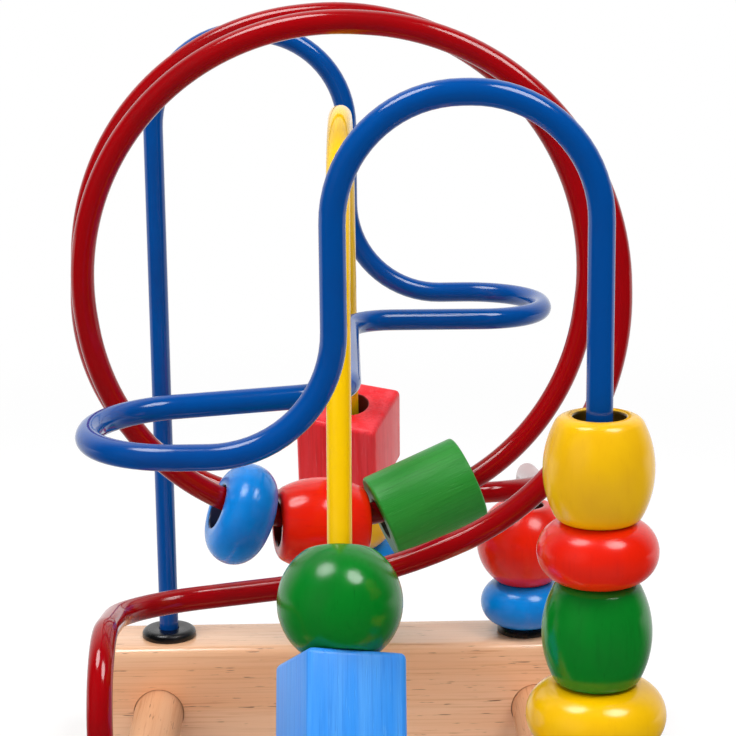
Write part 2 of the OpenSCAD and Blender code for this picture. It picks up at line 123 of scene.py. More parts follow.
class Bench:
    """Hand tools that work on one active object at a time."""

    @staticmethod
    def clear() -> None:
        """Leave edit mode and select nothing."""
        if bpy.context.mode != "OBJECT":
            bpy.ops.object.mode_set(mode="OBJECT")
        bpy.ops.object.select_all(action="DESELECT")

    @staticmethod
    def focus(piece: Piece) -> None:
        """Make one piece the only selected and active one."""
        Bench.clear()
        piece.select_set(True)
        bpy.context.view_layer.objects.active = piece

    @staticmethod
    def started(name: str) -> Piece:
        """Name the primitive that was just added and put its place into its mesh.

        Args:
            name: Name of the new piece.

        Returns:
            The new piece, at the origin.
        """
        piece = bpy.context.object
        piece.name = name
        piece.data.name = name
        Bench.focus(piece)
        bpy.ops.object.transform_apply(location=True, rotation=True, scale=True)
        return piece

    @staticmethod
    def pick(piece: Piece, part: Part, test: Callable[[object], bool]) -> None:
        """Select in edit mode only what passes a test.

        Args:
            piece: The piece in edit mode.
            part: Whether vertices or edges are selected.
            test: Says whether a bmesh element is wanted.
        """
        bpy.ops.mesh.select_mode(type=part.value)
        bpy.ops.mesh.select_all(action="DESELECT")
        mesh = bmesh.from_edit_mesh(piece.data)
        rows = mesh.verts if part is Part.VERTS else mesh.edges
        for row in [row for row in rows if test(row)]:
            row.select_set(True)
        mesh.select_flush_mode()
        bmesh.update_edit_mesh(piece.data)

    @staticmethod
    def apply(piece: Piece, kind: str, **settings: object) -> None:
        """Add a modifier to a piece and apply it.

        Args:
            piece: The piece to work on.
            kind: Blender's name of the modifier type.
            settings: Values set on the modifier before it is applied.
        """
        Bench.focus(piece)
        modifier = piece.modifiers.new(kind.lower(), kind)
        for key, value in settings.items():
            setattr(modifier, key, value)
        bpy.ops.object.modifier_apply(modifier=modifier.name)

    @staticmethod
    def drill(piece: Piece, radius: float, depth: float, place: Matrix, facets: int = 64) -> None:
        """Cut a round hole with a cylinder.

        Args:
            piece: The piece that is drilled.
            radius: Radius of the hole.
            depth: Depth of the hole above and below its middle, together.
            place: Frame of the hole, with its middle at the origin and its axis along Z.
            facets: Sides of the hole.
        """
        Bench.clear()
        bpy.ops.mesh.primitive_cylinder_add(vertices=facets, radius=radius * MM, depth=depth * MM)
        tool = bpy.context.object
        Bench.placed(tool, place)
        Bench.apply(piece, "BOOLEAN", object=tool, operation="DIFFERENCE", solver="EXACT")
        bpy.data.objects.remove(tool)

    @staticmethod
    def smooth(piece: Piece, angle: float = 35.0) -> None:
        """Shade a piece smooth, apart from edges sharper than an angle."""
        Bench.focus(piece)
        bpy.ops.object.shade_smooth_by_angle(angle=math.radians(angle))

    @staticmethod
    def copied(pattern: Piece, name: str) -> Piece:
        """Copy a pattern piece with a mesh of its own."""
        Bench.focus(pattern)
        bpy.ops.object.duplicate(linked=False)
        piece = bpy.context.object
        piece.name = name
        piece.data.name = name
        return piece

    @staticmethod
    def placed(piece: Piece, place: Matrix) -> None:
        """Carry a piece to its place and keep the place in its mesh."""
        piece.matrix_world = place
        Bench.focus(piece)
        bpy.ops.object.transform_apply(location=True, rotation=True, scale=True)

    @staticmethod
    def keep_grain(piece: Piece, offset: Vector) -> None:
        """Store each point's place in its stock and its reach from the bore's axis.

        Args:
            piece: The piece, before it is carried to its place.
            offset: Where in the stock the piece was cut, so that no two show the same grain.
        """
        stock = piece.data.attributes.new(GRAIN, "FLOAT_VECTOR", "POINT")
        for vertex, point in zip(piece.data.vertices, stock.data):
            point.vector = vertex.co + offset
        reach = piece.data.attributes.new(REACH, "FLOAT", "POINT")
        for vertex, point in zip(piece.data.vertices, reach.data):
            point.value = vertex.co.xy.length


class Lathe:
    """Turns round pieces about the Z axis, ring by ring."""

    @staticmethod
    def arc(centre: Pair, radius: float, start: float, end: float, steps: int) -> Profile:
        """Give points on an arc of a profile.

        Args:
            centre: Distance from the axis and height of the arc's centre.
            radius: Radius of the arc.
            start: First angle, from straight out towards up.
            end: Last angle.
            steps: Number of chords.

        Returns:
            Distances from the axis with their heights.
        """
        angles = [math.radians(start + (end - start) * i / steps) for i in range(steps + 1)]
        out, up = centre
        return [(out + radius * math.cos(a), up + radius * math.sin(a)) for a in angles]

    @staticmethod
    def turn(name: str, profile: Profile, facets: int = 96) -> Piece:
        """Turn a ring-shaped piece from its profile, with the bore closed last.

        Args:
            name: Name of the new piece.
            profile: Distances from the axis with heights, from one end of the bore to the other.
            facets: Sides of the round.

        Returns:
            The turned piece, standing on the origin.
        """
        Bench.clear()
        radius, height = profile[0]
        bpy.ops.mesh.primitive_circle_add(
            vertices=facets, radius=radius * MM, location=(0, 0, height * MM))
        piece = Bench.started(name)
        bpy.ops.object.mode_set(mode="EDIT")
        bpy.ops.mesh.select_all(action="SELECT")
        for (r0, z0), (r1, z1) in zip(profile, profile[1:]):
            rise = (0, 0, (z1 - z0) * MM)
            bpy.ops.mesh.extrude_edges_move(TRANSFORM_OT_translate={"value": rise})
            bpy.ops.transform.resize(value=(r1 / r0, r1 / r0, 1), center_override=(0, 0, z1 * MM))
        Bench.pick(piece, Part.EDGES, lambda edge: len(edge.link_faces) == 1)
        bpy.ops.mesh.bridge_edge_loops()
        bpy.ops.mesh.select_all(action="SELECT")
        bpy.ops.mesh.normals_make_consistent(inside=False)
        bpy.ops.object.mode_set(mode="OBJECT")
        Bench.smooth(piece)
        return piece


@dataclass(frozen=True)
class Pattern:
    """Soft noise: cycles for each metre along the axes, detail, roughness and shift."""

    cycles: Triple
    detail: float = 2.0
    rough: float = 0.5
    shift: Triple = (0.0, 0.0, 0.0)


@dataclass(frozen=True)
class Veil:
    """Where in a pattern a second colour begins and ends to show, and the most that shows of it."""

    begin: float
    end: float
    share: float


@dataclass(frozen=True)
class Relief:
    """Depth in millimetres of a pattern in a surface, and the share of that depth that shows."""

    depth: float
    strength: float


class NodeBench:
    """A node tree under construction."""

    def __init__(self, tree: bpy.types.NodeTree) -> None:
        """Start work on a tree."""
        self.tree: bpy.types.NodeTree = tree

    def node(self, kind: str, **values: object) -> bpy.types.Node:
        """Add a node and set its properties."""
        node = self.tree.nodes.new(kind)
        for key, value in values.items():
            setattr(node, key, value)
        return node

    def plug(self, socket: Socket, value: object) -> None:
        """Link an output to an input socket, or set the socket to a constant.

        Args:
            socket: The input.
            value: An output socket or a constant.
        """
        if isinstance(value, Socket):
            self.tree.links.new(value, socket)
        else:
            socket.default_value = value

    def feed(self, node: bpy.types.Node, **sockets: object) -> bpy.types.Node:
        """Set or link input sockets of a node.

        Args:
            node: The node to feed.
            sockets: Values or output sockets, by input name with spaces as underscores.

        Returns:
            The same node.
        """
        for key, value in sockets.items():
            self.plug(node.inputs[key.replace("_", " ")], value)
        return node

    def joined(self, kind: str, *values: object, **settings: object) -> Socket:
        """Add a node whose inputs are fed in their order.

        Args:
            kind: Blender's name of the node type.
            values: Values or output sockets for the first inputs.
            settings: Properties of the node.

        Returns:
            The node's first output.
        """
        node = self.node(kind, **settings)
        for socket, value in zip(node.inputs, values):
            self.plug(socket, value)
        return node.outputs[0]

    def between(self, value: Socket, source: Pair, target: Pair) -> Socket:
        """Map a value smoothly from one range to another.

        Args:
            value: The value to map.
            source: Low and high end of what comes in.
            target: What comes out at those ends.

        Returns:
            The mapped value.
        """
        node = self.node("ShaderNodeMapRange", interpolation_type="SMOOTHSTEP")
        self.feed(node, Value=value, From_Min=source[0], From_Max=source[1])
        self.feed(node, To_Min=target[0], To_Max=target[1])
        return node.outputs["Result"]


class ShaderBench(NodeBench):
    """A material under construction around one Principled shader."""

    def __init__(self, name: str, grain: bool = False) -> None:
        """Start a material.

        Args:
            name: Name of the material.
            grain: Whether its patterns follow the piece's own stock instead of the frame.
        """
        self.material: bpy.types.Material = bpy.data.materials.new(name)
        self.material.use_nodes = True
        super().__init__(self.material.node_tree)
        self.surface: bpy.types.Node = self.tree.nodes["Principled BSDF"]
        self.grain: bool = grain

    def noise(self, pattern: Pattern) -> Socket:
        """Give the soft noise of a pattern.

        Args:
            pattern: The pattern to lay over the piece.

        Returns:
            The noise, spread about one half.
        """
        if self.grain:
            source = self.node("ShaderNodeAttribute", attribute_name=GRAIN).outputs["Vector"]
        else:
            source = self.node("ShaderNodeTexCoord").outputs["Object"]
        place = self.node("ShaderNodeMapping")
        self.feed(place, Vector=source, Scale=pattern.cycles, Location=pattern.shift)
        texture = self.node("ShaderNodeTexNoise")
        self.feed(texture, Vector=place.outputs["Vector"], Scale=1.0)
        self.feed(texture, Detail=pattern.detail, Roughness=pattern.rough)
        return texture.outputs["Fac"]

    def mix(self, share: Socket, first: object, second: object) -> Socket:
        """Mix two colours.

        Args:
            share: Share of the second colour.
            first: Colour value or socket.
            second: Colour value or socket.

        Returns:
            The mixed colour.
        """
        node = self.node("ShaderNodeMix", data_type="RGBA")
        for index, value in zip(COLOUR_MIX_INPUTS, (share, first, second)):
            self.plug(node.inputs[index], value)
        return node.outputs[COLOUR_MIX_OUTPUT]

    def veiled(self, under: object, noise: Socket, veil: Veil, colour: Colour) -> Socket:
        """Let a second colour show where a pattern is strong.

        Args:
            under: Colour value or socket that the second colour lies on.
            noise: The pattern's noise.
            veil: Where and how much the second colour shows.
            colour: The second colour.

        Returns:
            The mixed colour.
        """
        share = self.between(noise, (veil.begin, veil.end), (0.0, veil.share))
        return self.mix(share, under, linear(colour))

    def shade_bore(self, paint: Socket) -> Socket:
        """Paint dark shade over a bead's paint inside its bore, where the hole is in shadow.

        Args:
            paint: Colour of the painted outside.

        Returns:
            The colour with painted shade in the bore.
        """
        # Painted shade: a dark brown over the paint in the bore, fading out across the rim
        reach = self.node("ShaderNodeAttribute", attribute_name=REACH).outputs["Fac"]
        begin, end = BORE_SHADE_EDGE
        inside = self.between(reach, (begin * MM, end * MM), (BORE_SHADE_SHARE, 0.0))
        return self.mix(inside, paint, linear(BORE_SHADE))

    def bump(self, height: Socket, relief: Relief, below: Socket | None = None) -> Socket:
        """Give a surface normal with a pattern raised on it.

        Args:
            height: The pattern.
            relief: Depth of the pattern.
            below: Normal of an earlier pattern.

        Returns:
            The new normal.
        """
        node = self.node("ShaderNodeBump")
        self.feed(node, Height=height, Distance=relief.depth * MM, Strength=relief.strength)
        if below is not None:
            self.feed(node, Normal=below)
        return node.outputs["Normal"]

    def pitted(self, noise: Socket, edge: Pair, relief: Relief, below: Socket) -> Socket:
        """Give a surface normal with the strong places of a pattern pressed in.

        Args:
            noise: The pattern's noise.
            edge: Where in the pattern a pit begins and is deepest.
            relief: Depth of the pits.
            below: Normal of an earlier pattern.

        Returns:
            The new normal.
        """
        return self.bump(self.between(noise, edge, (1.0, 0.0)), relief, below)


@dataclass(frozen=True)
class Lacquer:
    """Glossy paint on turned wood, through which a little grain shows."""

    slot: str
    colour: Colour
    deep: Colour
    cloud: Pattern = Pattern((70, 70, 40), 3)
    cloud_veil: Veil = Veil(0.42, 0.72, 0.55)
    fibre: Pattern = Pattern((850, 850, 42), 3, 0.6)
    fibre_veil: Veil = Veil(0.5, 0.78, 0.35)
    pores: Pattern = Pattern((1500, 1500, 130), shift=(3, 7, 0))
    pore_veil: Veil = Veil(0.7, 0.76, 0.5)
    ripple: Relief = Relief(0.05, 0.25)
    roughness: Pair = (0.16, 0.25)

    def material(self, name: str) -> bpy.types.Material:
        """Build the paint's material under a given name."""
        bench = ShaderBench(name, grain=True)
        cloud, fibre = bench.noise(self.cloud), bench.noise(self.fibre)
        paint = bench.veiled(linear(self.colour), cloud, self.cloud_veil, self.deep)
        paint = bench.veiled(paint, fibre, self.fibre_veil, self.deep)
        paint = bench.veiled(paint, bench.noise(self.pores), self.pore_veil, self.deep)
        gloss = bench.between(cloud, MIDDLE, self.roughness)
        ripple = bench.bump(fibre, self.ripple)
        # The bore gets painted shade, a dark brown over the paint inside the hole
        bench.feed(bench.surface, Base_Color=bench.shade_bore(paint), Roughness=gloss, Normal=ripple)
        return bench.material


@dataclass(frozen=True)
class Stain:
    """Thin satin colour on wood, with the grain open."""

    slot: str
    colour: Colour
    pale: Colour
    deep: Colour
    bands: Pattern = Pattern((260, 260, 18), 3)
    band_veil: Veil = Veil(0.35, 0.68, 0.5)
    fibre: Pattern = Pattern((1300, 1300, 38), 4, 0.65)
    fibre_veil: Veil = Veil(0.44, 0.7, 0.45)
    flecks: Pattern = Pattern((1900, 1900, 170), shift=(5, 1, 0))
    fleck_veil: Veil = Veil(0.62, 0.72, 0.4)
    open_grain: Relief = Relief(0.2, 0.5)
    pit_edge: Pair = (0.62, 0.74)
    pit_relief: Relief = Relief(0.12, 0.45)
    roughness: Pair = (0.3, 0.42)
    specular: float = 0.4

    def material(self, name: str) -> bpy.types.Material:
        """Build the stain's material under a given name."""
        bench = ShaderBench(name, grain=True)
        bands, fibre, flecks = map(bench.noise, (self.bands, self.fibre, self.flecks))
        paint = bench.veiled(linear(self.colour), bands, self.band_veil, self.pale)
        paint = bench.veiled(paint, fibre, self.fibre_veil, self.deep)
        paint = bench.veiled(paint, flecks, self.fleck_veil, self.pale)
        grain = bench.bump(fibre, self.open_grain)
        pitted = bench.pitted(flecks, self.pit_edge, self.pit_relief, grain)
        satin = bench.between(bands, MIDDLE, self.roughness)
        # The bore gets painted shade, a dark brown over the stain inside the hole
        bench.feed(bench.surface, Base_Color=bench.shade_bore(paint), Roughness=satin, Normal=pitted)
        bench.feed(bench.surface, Specular_IOR_Level=self.specular)
        return bench.material


@dataclass(frozen=True)
class Coating:
    """Dipped coat on bent wire, smooth with a faint wave and dull rubbed places."""

    slot: str
    colour: Colour
    deep: Colour
    wave: Pattern = Pattern((120, 120, 120))
    wave_relief: Relief = Relief(0.12, 0.2)
    peel: Pattern = Pattern((900, 900, 900))
    peel_relief: Relief = Relief(0.01, 0.2)
    rubbed: Pattern = Pattern((38, 38, 38), 4, 0.6, (4, 2, 9))
    rubbed_veil: Veil = Veil(0.4, 0.75, 0.6)
    dulling: Pair = (0.35, 0.72)
    roughness: Pair = (0.1, 0.19)

    def material(self, name: str) -> bpy.types.Material:
        """Build the coat's material under a given name."""
        bench = ShaderBench(name)
        rubbed = bench.noise(self.rubbed)
        coat = bench.veiled(linear(self.colour), rubbed, self.rubbed_veil, self.deep)
        flow = bench.bump(bench.noise(self.wave), self.wave_relief)
        skin = bench.bump(bench.noise(self.peel), self.peel_relief, flow)
        gloss = bench.between(rubbed, self.dulling, self.roughness)
        bench.feed(bench.surface, Base_Color=coat, Roughness=gloss, Normal=skin)
        return bench.material


class Grain(Enum):
    """Which way the fibres of a beech piece run."""

    ALONG_X = 0
    ALONG_Y = 1


@dataclass(frozen=True)
class Beech:
    """Varnished beech with growth bands, fine fibres and short dark pores.

    The patterns are written for fibres along X.
    """

    slot: str
    run: Grain
    pale: Colour = (252, 204, 164)
    warm: Colour = (244, 184, 138)
    streak: Colour = (206, 136, 88)
    pore: Colour = (112, 66, 40)
    bands: Pattern = Pattern((5, 85, 85), 3)
    band_veil: Veil = Veil(0.3, 0.7, 1.0)
    fibre: Pattern = Pattern((22, 1500, 1500), 4, 0.6)
    fibre_veil: Veil = Veil(0.45, 0.8, 0.5)
    lines: Pattern = Pattern((34, 900, 900), shift=(2, 5, 1))
    line_veil: Veil = Veil(0.63, 0.74, 0.55)
    pores: Pattern = Pattern((120, 2100, 2100), shift=(7, 3, 8))
    pore_veil: Veil = Veil(0.67, 0.74, 0.8)
    raised: Relief = Relief(0.08, 0.35)
    pit_edge: Pair = (0.66, 0.75)
    pit_relief: Relief = Relief(0.15, 0.5)
    roughness: Pair = (0.17, 0.27)
    specular: float = 1.0

    def laid(self, pattern: Pattern) -> Pattern:
        """Lay a pattern the way the fibres run."""
        along, across, _ = pattern.cycles
        cycles = tuple(along if axis == self.run.value else across for axis in range(3))
        return replace(pattern, cycles=cycles)

    def material(self, name: str) -> bpy.types.Material:
        """Build the wood's material under a given name."""
        bench = ShaderBench(name)
        patterns = (self.bands, self.fibre, self.lines, self.pores)
        bands, fibre, lines, pores = (bench.noise(self.laid(pattern)) for pattern in patterns)
        wood = bench.veiled(linear(self.pale), bands, self.band_veil, self.warm)
        wood = bench.veiled(wood, fibre, self.fibre_veil, self.streak)
        wood = bench.veiled(wood, lines, self.line_veil, self.streak)
        wood = bench.veiled(wood, pores, self.pore_veil, self.pore)
        raised = bench.bump(fibre, self.raised)
        pitted = bench.pitted(pores, self.pit_edge, self.pit_relief, raised)
        satin = bench.between(bands, MIDDLE, self.roughness)
        bench.feed(bench.surface, Base_Color=wood, Roughness=satin, Normal=pitted)
        bench.feed(bench.surface, Specular_IOR_Level=self.specular)
        return bench.material


@dataclass(frozen=True)
class Plastic:
    """Moulded black plastic with a fine dull skin."""

    slot: str
    colour: Colour
    worn: Colour
    skin: Pattern = Pattern((2600, 2600, 2600))
    skin_relief: Relief = Relief(0.04, 0.4)
    rubbed: Pattern = Pattern((160, 160, 160), 4, 0.65)
    rubbed_veil: Veil = Veil(0.45, 0.75, 0.8)
    roughness: Pair = (0.22, 0.36)

    def material(self, name: str) -> bpy.types.Material:
        """Build the plastic's material under a given name."""
        bench = ShaderBench(name)
        rubbed = bench.noise(self.rubbed)
        tone = bench.veiled(linear(self.colour), rubbed, self.rubbed_veil, self.worn)
        gloss = bench.between(rubbed, MIDDLE, self.roughness)
        skin = bench.bump(bench.noise(self.skin), self.skin_relief)
        bench.feed(bench.surface, Base_Color=tone, Roughness=gloss, Normal=skin)
        return bench.material


class Finish(Enum):
    """The finishes of the maze."""

    BAR_BEECH = Beech("beech", Grain.ALONG_X)
    DOWEL_BEECH = Beech("beech", Grain.ALONG_Y)
    BLUE_COATING = Coating("blue_coating", (0, 75, 154), (0, 58, 130))
    RED_COATING = Coating("red_coating", (160, 3, 10), (128, 2, 8))
    YELLOW_COATING = Coating("yellow_coating", (255, 204, 0), (248, 190, 0))
    BLACK_PLASTIC = Plastic("black_plastic", (10, 10, 12), (26, 26, 30))
    RED_PAINT = Lacquer("red_paint", (238, 30, 2), (214, 18, 2))
    YELLOW_PAINT = Lacquer("yellow_paint", (246, 190, 0), (232, 170, 0))
    GREEN_PAINT = Lacquer("green_paint", (4, 126, 34), (0, 102, 26))
    BLUE_PAINT = Lacquer("blue_paint", (0, 138, 230), (0, 114, 206))
    BLUE_STAIN = Stain("blue_stain", (48, 150, 250), (92, 176, 255), (26, 122, 230))
    RED_STAIN = Stain("red_stain", (255, 32, 42), (255, 90, 102), (220, 18, 28))
    GREEN_STAIN = Stain("green_stain", (38, 146, 46), (50, 156, 56), (24, 124, 34))

    def dress(self, piece: Piece) -> None:
        """Give a piece this finish.

        Args:
            piece: The piece to dress.
        """
        name = f"{self.name.lower()}_finish"
        material = bpy.data.materials.get(name)
        if material is None:
            material = self.value.material(name)
        piece.data.materials.clear()
        piece.data.materials.append(material)


def fit(piece: Piece, node: str, body: str, finish: Finish) -> None:
    """Dress a finished piece and put it in the place of its solid.

    Args:
        piece: The finished piece, in its place.
        node: The solid that it stands for.
        body: The body that it rides on.
        finish: What it is dressed in.
    """
    finish.dress(piece)
    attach(piece, body)
    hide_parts(node)
    log.info("%s: %d faces on %s", piece.name, len(piece.data.polygons), body)


@dataclass(frozen=True)
class Plan:
    """Sizes that several sub-assemblies share."""

    post_x: float = 56.5
    post_y: float = 97.0
    bar_height: float = 38.0
    wire_d: float = 6.0
    wire_seat: float = 28.0
    leaning_seat: float = 18.0
    collar_d: float = 17.0
    collar_h: float = 2.8
    collar_round: float = 1.8
    lean: float = 20.0
    leg_turn: float = 1.2
    seat_fit: float = 0.1
    rest_gap: float = 0.3
    rest_run: float = 2.0

    def post(self, side_x: int, side_y: int) -> Matrix:
        """Give the frame on the bar top at a post."""
        return moved(side_x * self.post_x, side_y * self.post_y, self.bar_height)

    def foot(self, side_y: int) -> Matrix:
        """Give the upright frame on the bar top at a leaning leg."""
        return turned("Z", -self.leg_turn) @ moved(0, side_y * self.post_y, self.bar_height)

    def leg(self, side_y: int) -> Matrix:
        """Give the frame on the bar top with Z along a leaning leg."""
        return self.foot(side_y) @ turned("X", side_y * self.lean)


PLAN = Plan()


@dataclass
class BentWire:
    """A wire along a route of corner points above the bar tops, each rounded by its bend."""

    node: str
    route: list[Triple]
    bends: list[float]
    finish: Finish
    turn: float = 0.0
    facets: int = 32
    chord: float = 2.5
    least_chords: int = 3
    points: list[Vector] = field(init=False)

    def __post_init__(self) -> None:
        """Turn the route about the vertical and lift it onto the bars."""
        turn, lift = turned("Z", self.turn), Vector((0, 0, PLAN.bar_height))
        self.points = [turn @ Vector(p) + lift for p in self.route]

    def heading(self, i: int) -> Vector:
        """Give the direction from a corner to the next."""
        return (self.points[i + 1] - self.points[i]).normalized()

    def swing(self, i: int) -> float:
        """Give the angle by which the wire turns at a corner, in radians."""
        return self.heading(i - 1).angle(self.heading(i)) if self.bends[i] else 0.0

    def setback(self, i: int) -> float:
        """Give how far before a corner its bend begins."""
        return self.bends[i] * math.tan(self.swing(i) / 2)

    def run_start(self, i: int) -> Vector:
        """Give where the straight run after a corner begins."""
        return self.points[i] + self.heading(i) * self.setback(i)

    def run_end(self, i: int) -> Vector:
        """Give where the straight run after a corner ends."""
        return self.points[i + 1] - self.heading(i) * self.setback(i + 1)

    def build(self) -> None:
        """Draw a round section along the runs and spin it round the bends."""
        Bench.clear()
        facing = self.heading(0).to_track_quat("Z", "Y").to_euler()
        bpy.ops.mesh.primitive_circle_add(
            vertices=self.facets, radius=PLAN.wire_d / 2 * MM, fill_type="NGON",
            location=metres(self.points[0]), rotation=facing)
        piece = Bench.started(self.node + "_coated")
        bpy.ops.object.mode_set(mode="EDIT")
        bpy.ops.mesh.select_mode(type="FACE")
        bpy.ops.mesh.select_all(action="SELECT")
        for i in range(len(self.points) - 1):
            run = metres(self.run_end(i) - self.run_start(i))
            bpy.ops.mesh.extrude_region_move(TRANSFORM_OT_translate={"value": run})
            if self.bends[i + 1]:
                self.spin(i + 1)
        bpy.ops.mesh.select_all(action="SELECT")
        bpy.ops.mesh.normals_make_consistent(inside=False)
        bpy.ops.object.mode_set(mode="OBJECT")
        Bench.smooth(piece)
        fit(piece, self.node, FRAME_BODY, self.finish)

    def spin(self, i: int) -> None:
        """Spin the selected end section round the bend at a corner.

        Args:
            i: Index of the corner.
        """
        before, after = self.heading(i - 1), self.heading(i)
        axis = before.cross(after).normalized()
        hub = self.run_end(i - 1) + axis.cross(before) * self.bends[i]
        steps = max(self.least_chords, round(self.bends[i] * self.swing(i) / self.chord))
        bpy.ops.mesh.spin(steps=steps, angle=-self.swing(i), center=metres(hub), axis=axis)


@dataclass
class WireSet:
    """The blue, yellow and red wires."""

    blue_arch_z: float = 190.0
    blue_arm_z: float = 110.0
    blue_inner_x: float = 2.0
    blue_sweep_r: float = 28.0
    # Place of the blue U-turns to the side and in depth, and place and bend of the middle run
    blue_turn: Pair = (59.0, 54.0)
    blue_mid: Triple = (1.5, 45.0, 112.0)
    blue_mid_r: float = 15.0
    yellow_peak_z: float = 174.5
    # Height and bend at the top of each red post
    red_front_post: Pair = (67.0, 18.0)
    red_rear_post: Pair = (53.0, 12.0)
    # Depth and height of the red passes at the posts' side, and their bend there
    red_front_pass: Pair = (38.0, 55.5)
    red_rear_pass: Pair = (34.5, 64.0)
    red_pass_r: float = 20.0
    # Depth of the red rings' outer and inner corners and of the crossing's ends
    red_coil_y: Triple = (32.0, 21.0, 12.0)
    # Red corners in their order: place to the side, height and any bend that isn't worked out
    red_mid: Triple = (7.5, 62.5, 138.0)
    red_rise: Triple = (69.5, 89.0, 67.0)
    red_front_right: Triple = (67.5, 196.0, 66.0)
    red_front_left: Pair = (76.5, 206.5)
    red_cross_left: Triple = (56.5, 60.0, 65.5)
    red_cross_right: Pair = (59.0, 74.0)
    red_rear_right: Pair = (77.5, 208.0)
    red_rear_left: Pair = (69.0, 193.0)
    red_fall: Triple = (75.5, 60.5, 58.0)
    # Straight run between the two bends of the crossing
    red_cross_run: float = 8.4

    @staticmethod
    def trial(route: list[Triple]) -> list[float]:
        """Give trial bends for a route whose angles are needed to work out its real ones."""
        return [0.0] + [1.0] * (len(route) - 2) + [0.0]

    def blue(self) -> BentWire:
        """Lay out the blue wire.

        It is a post, arch, inner leg, arm, U-turn and middle run, and the same turned half round.
        """
        x, y = PLAN.post_x, PLAN.post_y
        turn_x, turn_y = self.blue_turn
        mid_x, mid_y, mid_z = self.blue_mid
        half = [
            (x, -y, -PLAN.wire_seat), (x, -y, self.blue_arch_z),
            (-self.blue_inner_x, -y, self.blue_arch_z), (-self.blue_inner_x, -y, self.blue_arm_z),
            (-turn_x, -y, self.blue_arm_z), (-turn_x, -turn_y, self.blue_arm_z),
        ]
        middle = [(mid_x, -mid_y, mid_z), (mid_x, mid_y, mid_z)]
        route = half + middle + [(-px, -py, pz) for px, py, pz in reversed(half)]
        arch = (x + self.blue_inner_x - PLAN.rest_run) / 2
        wire = BentWire("blue_wire", route, self.trial(route), Finish.BLUE_COATING)
        room = y - turn_y - PLAN.rest_run
        turns = (len(half) - 1, len(half) + len(middle))
        front, rear = (room / (1 + math.tan(wire.swing(i) / 2)) for i in turns)
        sweep, mid = self.blue_sweep_r, self.blue_mid_r
        wire.bends = [
            0.0, arch, arch, sweep, front, front, mid, mid, rear, rear, sweep, arch, arch, 0.0,
        ]
        return wire

    def yellow(self) -> BentWire:
        """Lay out the yellow wire: two leaning legs and a round peak."""
        lean = math.radians(PLAN.lean)
        vertex = PLAN.post_y / math.tan(lean)
        peak_r = (vertex - self.yellow_peak_z) / (1 / math.sin(lean) - 1)
        foot_y = PLAN.post_y + PLAN.leaning_seat * math.tan(lean)
        route = [(0, -foot_y, -PLAN.leaning_seat), (0, 0, vertex), (0, foot_y, -PLAN.leaning_seat)]
        bends = [0.0, peak_r, 0.0]
        return BentWire("yellow_wire", route, bends, Finish.YELLOW_COATING, -PLAN.leg_turn)

    def red(self) -> BentWire:
        """Lay out the red wire.

        It is a post, a front pass, two rings with a crossing between them, a rear pass and a post.
        """
        x, y, seat = PLAN.post_x, PLAN.post_y, PLAN.wire_seat
        front_z, front_r = self.red_front_post
        rear_z, rear_r = self.red_rear_post
        pass_y, pass_z = self.red_front_pass
        mid_x, mid_z, mid_r = self.red_mid
        rise_x, rise_z, rise_r = self.red_rise
        outer, inner, cross_y = self.red_coil_y
        right_x, right_z, right_r = self.red_front_right
        left_x, left_z = self.red_front_left
        cross_x, cross_z, cross_r = self.red_cross_left
        cross_end_x, cross_end_z = self.red_cross_right
        rear_right_x, rear_right_z = self.red_rear_right
        rear_left_x, rear_left_z = self.red_rear_left
        fall_x, fall_z, fall_r = self.red_fall
        fall_y, end_z = self.red_rear_pass
        route = [
            (-x, -y, -seat), (-x, -y, front_z), (-x, -pass_y, pass_z), (mid_x, -pass_y, mid_z),
            (rise_x, -pass_y, rise_z), (right_x, -outer, right_z), (-left_x, -inner, left_z),
            (-cross_x, -cross_y, cross_z), (cross_end_x, cross_y, cross_end_z),
            (rear_right_x, inner, rear_right_z), (-rear_left_x, outer, rear_left_z),
            (-fall_x, fall_y, fall_z), (x, fall_y, end_z), (x, y, rear_z), (x, y, -seat),
        ]
        wire = BentWire("red_wire", route, self.trial(route), Finish.RED_COATING)
        ease = [math.tan(wire.swing(i) / 2) for i in range(len(route))]
        reach = [(after - before).length for before, after in zip(wire.points, wire.points[1:])]
        left, cross, cross_end, rear_right, rear_left = range(CROSSING - 1, CROSSING + 4)
        back = cross_r * ease[cross]
        front_left = (reach[left] - back - PLAN.rest_run) / ease[left]
        cross_right = (reach[cross] - back - self.red_cross_run) / ease[cross_end]
        rear = (reach[rear_right] - PLAN.rest_run) / (ease[rear_right] + ease[rear_left])
        wire.bends = [
            0.0, front_r, self.red_pass_r, mid_r, rise_r, right_r, front_left, cross_r, cross_right,
            rear, rear, fall_r, self.red_pass_r, rear_r, 0.0,
        ]
        return wire

    def build(self) -> BentWire:
        """Build the three wires.

        Returns:
            The red wire, which carries the loop beads.
        """
        red = self.red()
        for wire in (self.blue(), self.yellow(), red):
            wire.build()
        return red


